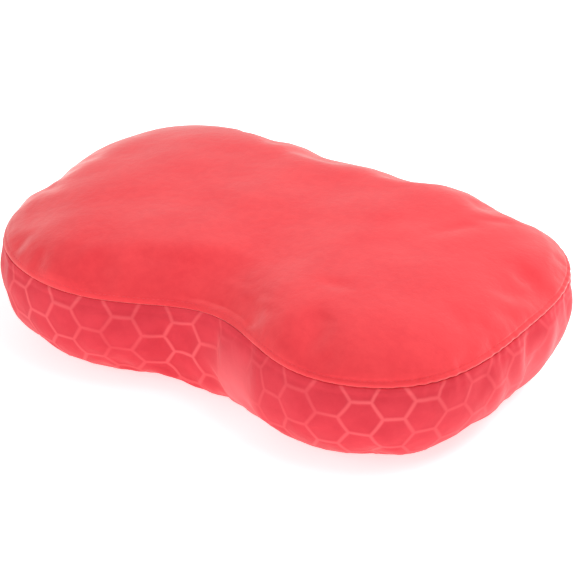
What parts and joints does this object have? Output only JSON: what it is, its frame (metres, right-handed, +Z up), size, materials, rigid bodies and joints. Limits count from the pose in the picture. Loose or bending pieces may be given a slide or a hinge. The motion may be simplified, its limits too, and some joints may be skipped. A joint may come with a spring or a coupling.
{
  "type": "camp pillow",
  "caption": "Contoured self-inflating camp pillow: a waisted rounded pad in a sewn, zipped fabric cover over an airtight bladder and foam core, with a flat two-stage valve at one end.",
  "frame": {"origin": "middle of the flat base, on the surface the pillow lies on", "axes": "+X along the pillow's length, away from the valve; -Y towards the front with the deep waist; +Z up through the brushed top"},
  "size_m": [0.3977, 0.2681, 0.1],
  "materials": {
    "brushed_fabric": "matte",
    "hex_fabric": "matte",
    "binding_tape": "matte",
    "seam_thread": "matte",
    "bladder_film": "satin",
    "foam": "matte",
    "valve_plastic": "satin",
    "cap_plastic": "satin",
    "silicone": "matte",
    "zip_tape": "matte",
    "coil_nylon": "satin",
    "slider_metal": "satin"
  },
  "bodies": {
    "pillow": {"cover_top_panel": "brushed_fabric", "cover_side_wall": "hex_fabric", "cover_base_panel": "hex_fabric", "upper_seam_binding": "binding_tape", "lower_seam_binding": "binding_tape", "upper_seam_topstitch": "seam_thread", "bladder_upper_sheet": "bladder_film", "bladder_lower_shell": "bladder_film", "foam_core": "foam", "valve_base": "valve_plastic", "valve_seal_ring": "silicone", "valve_port_binding": "binding_tape", "zip_tape_upper": "zip_tape", "zip_tape_lower": "zip_tape", "zip_coil_upper": "coil_nylon", "zip_coil_lower": "coil_nylon", "zip_top_stop_upper": "slider_metal", "zip_top_stop_lower": "slider_metal", "zip_bottom_stop": "slider_metal"},
    "deflate_cap": {"valve_deflate_cap": "cap_plastic"},
    "inflate_cap": {"valve_inflate_cap": "valve_plastic"},
    "check_disc": {"valve_check_disc": "silicone"},
    "slider": {"zip_slider": "slider_metal"},
    "pull_tab": {"zip_pull_tab": "slider_metal"}
  },
  "joints": [
    {"name": "deflate_cap_hinge", "type": "hinge", "parent": "pillow", "child": "deflate_cap", "pos_m": [-0.19821, 0, 0.0624], "axis": [0, 1, 0], "range_deg": [0, 150]},
    {"name": "inflate_cap_hinge", "type": "hinge", "parent": "deflate_cap", "child": "inflate_cap", "pos_m": [-0.20021, 0, 0.0378], "axis": [0, -1, 0], "range_deg": [0, 150]},
    {"name": "check_disc_lift", "type": "slide", "parent": "deflate_cap", "child": "check_disc", "axis": [1, 0, 0], "range_m": [0, 0.0008]},
    {"name": "zip_slide", "type": "slide", "parent": "pillow", "child": "slider", "axis": [1, 0, 0], "range_m": [0, 0.1625]},
    {"name": "pull_tab_hinge", "type": "hinge", "parent": "slider", "child": "pull_tab", "pos_m": [-0.0813, 0.12995, 0.0539], "axis": [0, 0, 1], "range_deg": [0, 180]}
  ]
}
